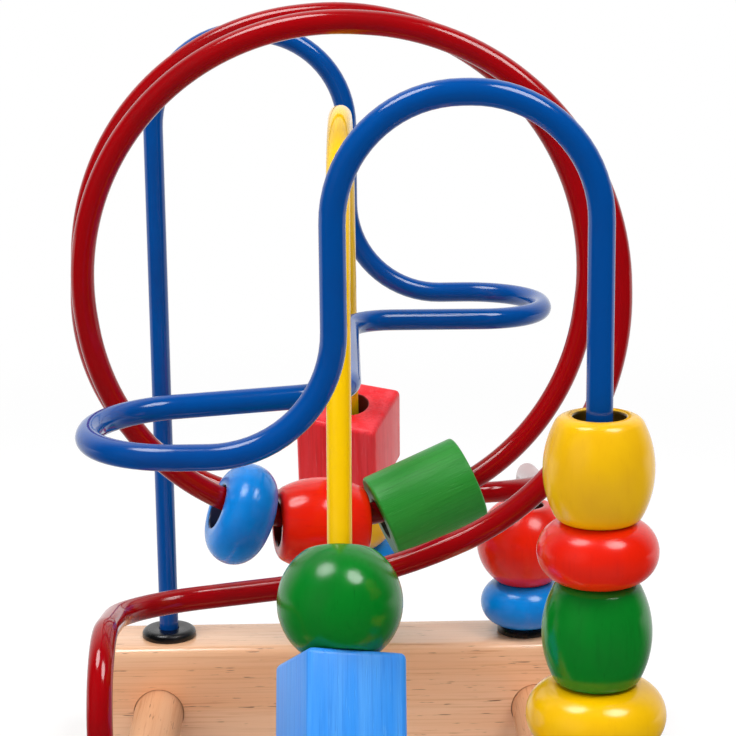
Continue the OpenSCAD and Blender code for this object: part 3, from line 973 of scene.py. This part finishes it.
@dataclass
class Base:
    """Two bars, two dowels and six grommets."""

    bar_length: float = 160.0
    bar_depth: float = 25.0
    bar_round: float = 3.0
    bar_round_steps: int = 6
    dowel_d: float = 15.5
    dowel_x: float = 59.5
    dowel_z: float = 16.5
    dowel_seat: float = 8.0
    dowel_fit: float = 0.22
    dowel_chamfer: float = 0.6
    dowel_chamfer_steps: int = 2
    dowel_facets: int = 96
    sleeve_d: float = 9.0
    sleeve_h: float = 8.0
    collar_foot: float = 0.5
    collar_foot_start: float = -60.0
    collar_lip: float = 0.35
    collar_steps: tuple[int, int, int] = (3, 8, 4)
    collar_facets: int = 64
    cut: float = 20.0

    def build(self) -> None:
        """Build every fixed piece of the base."""
        for side_y, node in ((-1, "front_bar"), (1, "rear_bar")):
            self.bar(node, side_y)
        for side_x, node in ((-1, "left_dowel"), (1, "right_dowel")):
            self.dowel(node, side_x)
        for side_y, row in ((-1, "front"), (1, "rear")):
            for side_x, column in ((-1, "left"), (1, "right")):
                self.post_grommet(f"{row}_{column}_grommet", side_x, side_y)
            self.leg_grommet(f"{row}_centre_grommet", side_y)

    def bar(self, node: str, side_y: int) -> None:
        """Plane a bar, round its edges and drill it.

        Args:
            node: The solid that it stands for.
            side_y: Front is -1 and rear is 1.
        """
        Bench.clear()
        height = PLAN.bar_height
        middle = metres((0, side_y * PLAN.post_y, height / 2))
        bpy.ops.mesh.primitive_cube_add(size=1, location=middle)
        bpy.context.object.scale = metres((self.bar_length, self.bar_depth, height))
        piece = Bench.started(node + "_planed")
        bpy.ops.object.mode_set(mode="EDIT")
        bpy.ops.mesh.select_all(action="SELECT")
        bpy.ops.mesh.bevel(offset=self.bar_round * MM, segments=self.bar_round_steps, profile=0.5)
        bpy.ops.object.mode_set(mode="OBJECT")
        hole = PLAN.wire_d / 2 + PLAN.seat_fit
        sleeve = self.sleeve_d / 2 + PLAN.seat_fit
        deep = self.sleeve_h + PLAN.rest_gap
        socket = self.dowel_d / 2 + self.dowel_fit
        face_y = side_y * (PLAN.post_y - self.bar_depth / 2)
        for side_x in (-1, 1):
            post = PLAN.post(side_x, side_y)
            Bench.drill(piece, hole, 2 * PLAN.wire_seat, post)
            Bench.drill(piece, sleeve, 2 * deep, post)
            rod = moved(side_x * self.dowel_x, face_y, self.dowel_z) @ turned("X", 90)
            Bench.drill(piece, socket, 2 * self.dowel_seat, rod)
        leg = PLAN.leg(side_y)
        wire_end = PLAN.leaning_seat / math.cos(math.radians(PLAN.lean))
        Bench.drill(piece, hole, wire_end + self.cut, leg @ moved(0, 0, (self.cut - wire_end) / 2))
        Bench.drill(piece, sleeve, deep + self.cut, leg @ moved(0, 0, (self.cut - deep) / 2))
        Bench.smooth(piece)
        fit(piece, node, FRAME_BODY, Finish.BAR_BEECH)

    def dowel(self, node: str, side_x: int) -> None:
        """Cut a dowel and break the edges of its ends.

        Args:
            node: The solid that it stands for.
            side_x: Left is -1 and right is 1.
        """
        Bench.clear()
        length = 2 * PLAN.post_y - self.bar_depth + 2 * self.dowel_seat
        bpy.ops.mesh.primitive_cylinder_add(
            vertices=self.dowel_facets, radius=self.dowel_d / 2 * MM, depth=length * MM,
            location=metres((side_x * self.dowel_x, 0, self.dowel_z)), rotation=(math.pi / 2, 0, 0))
        piece = Bench.started(node + "_turned")
        bpy.ops.object.mode_set(mode="EDIT")
        end = length / 2 * MM
        Bench.pick(piece, Part.EDGES,
                   lambda edge: all(abs(abs(v.co.y) - end) < HAIR for v in edge.verts))
        bpy.ops.mesh.bevel(offset=self.dowel_chamfer * MM, segments=self.dowel_chamfer_steps)
        bpy.ops.object.mode_set(mode="OBJECT")
        Bench.smooth(piece)
        fit(piece, node, FRAME_BODY, Finish.DOWEL_BEECH)

    def collar_profile(self) -> Profile:
        """Give a grommet's profile, from the foot of its sleeve up to the lip of its collar."""
        bore = PLAN.wire_d / 2 + PLAN.seat_fit
        outer, top = PLAN.collar_d / 2, PLAN.collar_h
        rim, foot, lip = PLAN.collar_round, self.collar_foot, self.collar_lip
        foot_steps, rim_steps, lip_steps = self.collar_steps
        sleeve = self.sleeve_d / 2
        return [
            (bore, -self.sleeve_h), (sleeve - foot, -self.sleeve_h),
            (sleeve, foot - self.sleeve_h), (sleeve, 0.0), (outer - foot, 0.0),
            *Lathe.arc((outer - foot, foot), foot, self.collar_foot_start, 0, foot_steps),
            *Lathe.arc((outer - rim, top - rim), rim, 0, 90, rim_steps),
            *Lathe.arc((bore + lip, top - lip), lip, 90, 180, lip_steps),
        ]

    def post_grommet(self, node: str, side_x: int, side_y: int) -> None:
        """Turn the grommet of an upright post.

        Args:
            node: The solid that it stands for.
            side_x: Left is -1 and right is 1.
            side_y: Front is -1 and rear is 1.
        """
        piece = Lathe.turn(node + "_moulded", self.collar_profile(), self.collar_facets)
        Bench.placed(piece, PLAN.post(side_x, side_y))
        fit(piece, node, FRAME_BODY, Finish.BLACK_PLASTIC)

    def leg_grommet(self, node: str, side_y: int) -> None:
        """Turn the grommet of a leaning leg, with its hole and sleeve along the leg.

        Args:
            node: The solid that it stands for.
            side_y: Front is -1 and rear is 1.
        """
        piece = Lathe.turn(node + "_moulded", self.collar_profile(), self.collar_facets)
        lean = math.radians(PLAN.lean)
        bpy.ops.object.mode_set(mode="EDIT")
        sleeve = (self.sleeve_d / 2 + PLAN.seat_fit) * MM
        verts = bmesh.from_edit_mesh(piece.data).verts
        rings = sorted({round(v.co.z, RING_DIGITS) for v in verts if v.co.xy.length < sleeve})
        for height in rings:
            Bench.pick(piece, Part.VERTS, lambda v: v.co.xy.length < sleeve
                       and abs(v.co.z - height) < 10 ** -RING_DIGITS)
            bpy.ops.transform.resize(
                value=(1, 1 / math.cos(lean), 1), center_override=(0, 0, height))
            bpy.ops.transform.translate(value=(0, -side_y * math.tan(lean) * height, 0))
        bpy.ops.object.mode_set(mode="OBJECT")
        Bench.placed(piece, PLAN.foot(side_y))
        fit(piece, node, FRAME_BODY, Finish.BLACK_PLASTIC)


@dataclass(frozen=True)
class TurnedBead:
    """A bead turned to one arc from flat end to flat end, with soft shoulders and bore rims."""

    d: float
    h: float
    flat: float
    bore: float = 11.7
    shoulder: float = 3.0
    shoulder_limit: float = 0.9
    shoulder_steps: int = 6
    rim: float = 0.7
    rim_steps: int = 4
    belly_steps: int = 24

    def build(self, name: str) -> Piece:
        """Turn the bead, standing on its lower flat face.

        Args:
            name: Name of the new piece.

        Returns:
            The bead.
        """
        rise = (self.d - self.flat) / 2
        half = self.h / 2
        big = (half * half + rise * rise) / (2 * rise)
        centre = self.d / 2 - big
        soft = min(self.shoulder, big * self.shoulder_limit)
        reach = math.sqrt(max((big - soft) ** 2 - (half - soft) ** 2, 0.0))
        touch = math.degrees(math.atan2(half - soft, reach))
        inner = self.bore / 2
        lower = [
            *Lathe.arc((inner + self.rim, self.rim), self.rim, 180, 270, self.rim_steps),
            *Lathe.arc((centre + reach, soft), soft, -90, -touch, self.shoulder_steps),
        ]
        belly = Lathe.arc((centre, half), big, -touch, touch, self.belly_steps)
        upper = [(r, self.h - z) for r, z in reversed(lower)]
        return Lathe.turn(name, lower + belly[1:-1] + upper)


@dataclass(frozen=True)
class LogBead:
    """A straight round bead with crisp, slightly broken end edges."""

    d: float
    h: float
    bore: float = 11.7
    edge: float = 0.8
    edge_steps: int = 5
    rim: float = 0.4
    rim_steps: int = 3

    def build(self, name: str) -> Piece:
        """Turn the log, standing on one end.

        Args:
            name: Name of the new piece.

        Returns:
            The log.
        """
        inner, outer = self.bore / 2, self.d / 2
        lower = [
            *Lathe.arc((inner + self.rim, self.rim), self.rim, 180, 270, self.rim_steps),
            *Lathe.arc((outer - self.edge, self.edge), self.edge, -90, 0, self.edge_steps),
        ]
        return Lathe.turn(name, lower + [(r, self.h - z) for r, z in reversed(lower)])


@dataclass(frozen=True)
class CubeBead:
    """A drilled cube with rounded edges, turned about its bore."""

    side: float
    turn: float
    bore: float = 11.7
    edge: float = 1.6
    edge_steps: int = 5
    rim: float = 0.5
    rim_steps: int = 3
    rim_search: float = 0.1
    drill_sides: float = 3.0
    facets: int = 96

    @property
    def h(self) -> float:
        """Give the height along the bore."""
        return self.side

    def build(self, name: str) -> Piece:
        """Saw, round and drill the cube, standing on its lower face.

        Args:
            name: Name of the new piece.

        Returns:
            The cube.
        """
        Bench.clear()
        middle = moved(0, 0, self.side / 2)
        bpy.ops.mesh.primitive_cube_add(
            size=self.side * MM, location=middle.translation,
            rotation=(0, 0, math.radians(self.turn)))
        piece = Bench.started(name)
        bpy.ops.object.mode_set(mode="EDIT")
        bpy.ops.mesh.select_all(action="SELECT")
        bpy.ops.mesh.bevel(offset=self.edge * MM, segments=self.edge_steps, profile=0.5)
        bpy.ops.object.mode_set(mode="OBJECT")
        Bench.drill(piece, self.bore / 2, self.drill_sides * self.side, middle, self.facets)
        Bench.focus(piece)
        bpy.ops.object.mode_set(mode="EDIT")
        reach = (self.bore / 2 + self.rim_search) * MM
        Bench.pick(piece, Part.EDGES, lambda edge: all(v.co.xy.length < reach for v in edge.verts)
                   and abs(edge.verts[0].co.z - edge.verts[1].co.z) < HAIR)
        bpy.ops.mesh.bevel(offset=self.rim * MM, segments=self.rim_steps, profile=0.5)
        bpy.ops.object.mode_set(mode="OBJECT")
        Bench.smooth(piece)
        return piece


class Shape(Enum):
    """The bead shapes."""

    BARREL = TurnedBead(25.0, 24.2, 18.2)
    BALL = TurnedBead(30.0, 25.0, math.sqrt(30.0 ** 2 - 25.0 ** 2))
    DISC = TurnedBead(27.5, 14.0, 16.0)
    WIDE = TurnedBead(32.0, 15.0, 18.0)
    FRONT_DISC = TurnedBead(27.5, 13.4, 16.0)
    REAR_DISC = TurnedBead(32.0, 16.3, 18.0)
    FRONT_CUBE = CubeBead(24.7, 21.0)
    REAR_CUBE = CubeBead(24.7, -19.0)
    LOG = LogBead(24.0, 26.5)

    @property
    def h(self) -> float:
        """Give the height of the bead along its bore."""
        return self.value.h


Row = tuple[str, Shape, Finish]


@dataclass(frozen=True)
class Bead:
    """One bead: its solid, shape, finish and place."""

    node: str
    shape: Shape
    finish: Finish
    place: Matrix


@dataclass
class PostBeads:
    """Beads that stand on each other on a right-hand post, the lowest on its collar."""

    side_y: int
    order: tuple[Row, ...]

    def beads(self) -> Iterator[Bead]:
        """Give the beads from the collar up."""
        height = PLAN.collar_h
        for node, shape, finish in self.order:
            yield Bead(node, shape, finish, PLAN.post(1, self.side_y) @ moved(0, 0, height))
            height += shape.h


@dataclass
class Stack(PostBeads):
    """The tall stack on the front right post."""

    side_y: int = -1
    order: tuple[Row, ...] = (
        ("stack_red_disc", Shape.DISC, Finish.RED_PAINT),
        ("stack_blue_barrel", Shape.BARREL, Finish.BLUE_PAINT),
        ("stack_yellow_disc", Shape.WIDE, Finish.YELLOW_PAINT),
        ("stack_green_barrel", Shape.BARREL, Finish.GREEN_PAINT),
        ("stack_top_disc", Shape.DISC, Finish.RED_PAINT),
        ("stack_yellow_barrel", Shape.BARREL, Finish.YELLOW_PAINT),
    )


@dataclass
class Corner(PostBeads):
    """The two beads on the rear right post."""

    side_y: int = 1
    order: tuple[Row, ...] = (
        ("corner_blue_disc", Shape.DISC, Finish.BLUE_PAINT),
        ("corner_red_ball", Shape.BALL, Finish.RED_PAINT),
    )


@dataclass
class Legs:
    """The beads on the two leaning yellow legs."""

    front_tilt: float = 11.0

    def seat(self) -> float:
        """Give how far up a leg its lowest bead leans on the collar rim."""
        lean = math.radians(PLAN.lean)
        rim = (PLAN.collar_d / 2 - PLAN.collar_round) * math.sin(lean)
        top = (PLAN.collar_h - PLAN.collar_round) * math.cos(lean)
        return rim + top + PLAN.collar_round + PLAN.rest_gap

    def tilted(self, centre: float, shape: Shape) -> Matrix:
        """Give the place of a bead that sits tilted on its loose fit on the front leg.

        Args:
            centre: How far up the leg the bead's middle is.
            shape: The bead's shape.

        Returns:
            The bead's place.
        """
        tilt = moved(0, 0, centre) @ turned("X", -self.front_tilt)
        return PLAN.leg(-1) @ tilt @ moved(0, 0, -shape.h / 2)

    def beads(self) -> Iterator[Bead]:
        """Give the beads of the front leg and then of the rear leg, from the bar up."""
        seat, tilt = self.seat(), math.radians(self.front_tilt)
        front, rear = PLAN.leg(-1), PLAN.leg(1)
        disc, wide, ball, cube = Shape.FRONT_DISC, Shape.REAR_DISC, Shape.BALL, Shape.FRONT_CUBE
        lift = PLAN.rest_gap + disc.value.flat / 2 * math.tan(tilt)
        cube_s = seat + 2 * disc.h + lift + cube.h / 2 / math.cos(tilt)
        ball_s = cube_s + (cube.h + ball.h) / 2 / math.cos(tilt)
        rear_s = seat + 2 * wide.h
        yield Bead("front_yellow_disc", disc, Finish.YELLOW_PAINT, front @ moved(0, 0, seat))
        yield Bead("front_red_disc", disc, Finish.RED_PAINT, front @ moved(0, 0, seat + disc.h))
        yield Bead("front_blue_cube", cube, Finish.BLUE_STAIN, self.tilted(cube_s, cube))
        yield Bead("front_green_ball", ball, Finish.GREEN_PAINT, self.tilted(ball_s, ball))
        yield Bead("rear_green_disc", wide, Finish.GREEN_PAINT, rear @ moved(0, 0, seat))
        yield Bead("rear_blue_disc", wide, Finish.BLUE_PAINT, rear @ moved(0, 0, seat + wide.h))
        yield Bead("rear_yellow_ball", ball, Finish.YELLOW_PAINT, rear @ moved(0, 0, rear_s))
        top = rear @ moved(0, 0, rear_s + ball.h)
        yield Bead("rear_red_cube", Shape.REAR_CUBE, Finish.RED_STAIN, top)


@dataclass
class Loop:
    """The three beads at the bottom of the red loop."""

    wire: BentWire
    corner: int = CROSSING
    disc_angle: float = 29.5
    disc_hang: float = 2.1
    barrel_angle: float = 10.5
    barrel_hang: float = 1.3
    log_angle: float = 8.0
    log_tilt: float = 6.5
    log_lift: float = 0.7

    def on_bend(
        self, start: Vector, inward: Vector, bend: float, swing: float, drop: float,
    ) -> Matrix:
        """Give a frame swung up a bend of the crossing about the bend's hub.

        Args:
            start: Where the bend meets the crossing's straight run.
            inward: Direction from there to the bend's hub.
            bend: Radius of the bend.
            swing: Angle up the bend, towards the right.
            drop: How far the frame hangs below the wire.

        Returns:
            The frame, with X along the wire.
        """
        along = self.wire.heading(self.corner)
        axes = Matrix((along, inward.cross(along), inward)).transposed().to_4x4()
        hub = moved(*start) @ axes @ moved(0, 0, bend)
        return hub @ turned("Y", -swing) @ moved(0, 0, -bend - drop)

    def laid(self, shape: Shape) -> Matrix:
        """Give the turn that lays a bead along X with its middle at the origin."""
        return turned("Y", 90) @ moved(0, 0, -shape.h / 2)

    def beads(self) -> Iterator[Bead]:
        """Give the beads from left to right."""
        wire, first = self.wire, self.corner
        along = wire.heading(first)
        left, left_r = wire.run_start(first), wire.bends[first]
        right, right_r = wire.run_end(first), wire.bends[first + 1]
        left_in = (along * math.cos(wire.swing(first)) - wire.heading(first - 1)).normalized()
        right_in = (wire.heading(first + 1) - along * math.cos(wire.swing(first + 1))).normalized()
        disc = self.on_bend(left, left_in, left_r, -self.disc_angle, self.disc_hang)
        barrel = self.on_bend(left, left_in, left_r, -self.barrel_angle, self.barrel_hang)
        log_seat = self.on_bend(right, right_in, right_r, self.log_angle, -self.log_lift)
        log_place = log_seat @ turned("Y", -self.log_tilt)
        rows = (
            ("loop_blue_disc", Shape.DISC, Finish.BLUE_PAINT, disc),
            ("loop_red_barrel", Shape.BARREL, Finish.RED_PAINT, barrel),
            ("loop_green_log", Shape.LOG, Finish.GREEN_STAIN, log_place),
        )
        for node, shape, finish, seat in rows:
            yield Bead(node, shape, finish, seat @ self.laid(shape))


@dataclass
class BeadShop:
    """Makes each bead shape once and copies it to its places."""

    stock_step: Triple = (37.0, 53.0, 71.0)
    patterns: dict[Shape, Piece] = field(default_factory=dict)
    made: int = 0

    def pattern(self, shape: Shape) -> Piece:
        """Give the pattern piece of a shape, made when it is first asked for."""
        if shape not in self.patterns:
            self.patterns[shape] = shape.value.build("pattern_" + shape.name.lower())
        return self.patterns[shape]

    def make(self, bead: Bead) -> None:
        """Copy a bead from its pattern, keep its grain, carry it to its place and dress it.

        Args:
            bead: The bead to make.
        """
        piece = Bench.copied(self.pattern(bead.shape), bead.node + "_painted")
        self.made += 1
        Bench.keep_grain(piece, metres(self.stock_step) * self.made)
        Bench.placed(piece, bead.place)
        fit(piece, bead.node, bead.node, bead.finish)

    def close(self) -> None:
        """Throw the pattern pieces away."""
        for piece in self.patterns.values():
            bpy.data.objects.remove(piece)
        self.patterns.clear()


@dataclass(frozen=True)
class SoftBox:
    """A round soft light that looks at the middle of the maze.

    One that isn't seen lights the maze without showing in gloss.
    """

    name: str
    toward: Triple
    distance: float
    span: float
    radiance: float
    seen: bool = True
    aim: Triple = (0.0, 0.0, 120.0)

    def build(self) -> None:
        """Hang the light."""
        data = bpy.data.lights.new(self.name, "AREA")
        data.shape = "DISK"
        data.size = self.span * MM
        # A flat lamp's power is its radiance times its area times pi
        data.energy = self.radiance * (math.pi * data.size / 2) ** 2
        lamp = bpy.data.objects.new(self.name, data)
        bpy.context.scene.collection.objects.link(lamp)
        toward = Vector(self.toward).normalized()
        lamp.location = metres(Vector(self.aim) + toward * self.distance)
        lamp.rotation_euler = toward.to_track_quat("Z", "Y").to_euler()
        lamp.visible_glossy = self.seen
        log.info("light %s", self.name)


@dataclass
class Studio:
    """White floor, soft light and the camera.

    The camera's three turns are in radians. The floor's two ranges, brightening and fade, and the
    nearest distance that the camera sees are in metres.
    """

    camera_at: Triple = (0.0, -566.956, 273.032)
    pitch: float = 0.220235
    yaw: float = 0.0116045
    roll: float = -0.0111573
    focal_px: float = 2193.485
    sensor: float = 36.0
    nearest: float = 0.01
    floor_side: float = 6000.0
    floor_tone: float = 0.62
    floor_lift: float = 0.43
    brightening: Pair = (-0.1, 0.25)
    fade: Pair = (0.25, 0.75)
    ambient: float = 0.37
    behind: float = 1.0
    ahead: float = 0.02
    gloss_turn: Pair = (0.05, 0.75)
    lamps: tuple[SoftBox, ...] = (
        SoftBox("left_softbox", (-0.36, -0.15, 0.92), 1250.0, 580.0, 9.5),
        SoftBox("right_softbox", (0.42, -0.36, 0.83), 1250.0, 580.0, 9.5),
        SoftBox("left_fill", (-0.8, -0.75, 0.4), 1500.0, 1350.0, 1.3, False),
    )

    def build(self) -> None:
        """Set the stage."""
        bpy.context.scene.view_settings.view_transform = "Standard"
        self.camera()
        for lamp in self.lamps:
            lamp.build()
        self.world()
        self.floor()

    def camera(self) -> None:
        """Stand the camera where the photograph was taken."""
        data = bpy.data.cameras.new("view")
        data.sensor_width = self.sensor
        data.lens = self.focal_px / IMAGE_SIDE * data.sensor_width
        data.clip_start = self.nearest
        camera = bpy.data.objects.new("view", data)
        bpy.context.scene.collection.objects.link(camera)
        level, fall = math.cos(self.pitch), math.sin(self.pitch)
        ahead = Vector((math.sin(self.yaw) * level, math.cos(self.yaw) * level, -fall))
        right = Vector((math.cos(self.yaw), -math.sin(self.yaw), 0))
        above = right.cross(ahead)
        across = right * math.cos(self.roll) + above * math.sin(self.roll)
        upward = above * math.cos(self.roll) - right * math.sin(self.roll)
        turn = Matrix((across, upward, -ahead)).transposed().to_4x4()
        camera.matrix_world = Matrix.Translation(metres(self.camera_at)) @ turn
        bpy.context.scene.camera = camera

    def world(self) -> None:
        """Make the room: white to the camera, and in gloss bright behind the maze and dim ahead."""
        world = bpy.data.worlds.new("room")
        bpy.context.scene.world = world
        world.use_nodes = True
        world.node_tree.nodes.clear()
        bench = NodeBench(world.node_tree)
        path = bench.node("ShaderNodeLightPath")
        direction = bench.node("ShaderNodeTexCoord").outputs["Generated"]
        depth = bench.feed(bench.node("ShaderNodeSeparateXYZ"), Vector=direction).outputs["Y"]
        gloss = bench.between(depth, self.gloss_turn, (self.ahead, self.behind))
        lit = bench.node("ShaderNodeMix")
        bench.feed(lit, Factor=path.outputs["Is Glossy Ray"], A=self.ambient, B=gloss)
        shown = bench.node("ShaderNodeMix")
        bench.feed(shown, Factor=path.outputs["Is Camera Ray"], A=lit.outputs[0], B=1.0)
        background = bench.node("ShaderNodeBackground")
        bench.feed(background, Color=(1, 1, 1, 1), Strength=shown.outputs[0])
        bench.feed(bench.node("ShaderNodeOutputWorld"), Surface=background.outputs[0])

    def floor(self) -> None:
        """Lay the floor.

        It shows the shadow near the maze and runs out into white. In gloss it brightens away from
        the viewer.
        """
        Bench.clear()
        bpy.ops.mesh.primitive_plane_add(size=self.floor_side * MM)
        plane = Bench.started("floor")
        bench = ShaderBench("white_floor")
        bench.tree.nodes.remove(bench.surface)
        path = bench.node("ShaderNodeLightPath")
        seen, mirrored = path.outputs["Is Camera Ray"], path.outputs["Is Glossy Ray"]
        spot = bench.node("ShaderNodeTexCoord").outputs["Object"]
        depth = bench.feed(bench.node("ShaderNodeSeparateXYZ"), Vector=spot).outputs["Y"]
        reach = bench.feed(bench.node("ShaderNodeVectorMath", operation="LENGTH"), Vector=spot)
        far = bench.between(reach.outputs["Value"], self.fade, (0.0, 1.0))
        white = bench.joined("ShaderNodeMath", far, seen, operation="MULTIPLY")
        lift = bench.joined("ShaderNodeMath", seen, self.floor_lift, operation="MULTIPLY")
        tone = (self.floor_tone, self.floor_tone, self.floor_tone, 1)
        cloth = bench.feed(bench.node("ShaderNodeBsdfDiffuse"), Color=tone).outputs[0]
        near = bench.joined("ShaderNodeAddShader", cloth, self.glow(bench, lift))
        shown = bench.joined("ShaderNodeMixShader", white, near, self.glow(bench, 1.0))
        sheen = bench.between(depth, self.brightening, (self.ahead, self.behind))
        surface = bench.joined("ShaderNodeMixShader", mirrored, shown, self.glow(bench, sheen))
        bench.feed(bench.tree.nodes["Material Output"], Surface=surface)
        plane.data.materials.append(bench.material)

    @staticmethod
    def glow(bench: NodeBench, strength: object) -> Socket:
        """Give white light of a strength, which is a value or a socket."""
        return bench.feed(bench.node("ShaderNodeEmission"), Strength=strength).outputs[0]


def main() -> None:
    """Build the maze and its studio, in order."""
    logging.basicConfig(level=logging.INFO, format="%(name)s %(message)s")
    Studio().build()
    Base().build()
    red_wire = WireSet().build()
    shop = BeadShop()
    for strand in (Stack(), Legs(), Corner(), Loop(red_wire)):
        for bead in strand.beads():
            shop.make(bead)
    shop.close()
    Bench.clear()


if __name__ == "__main__":
    main()
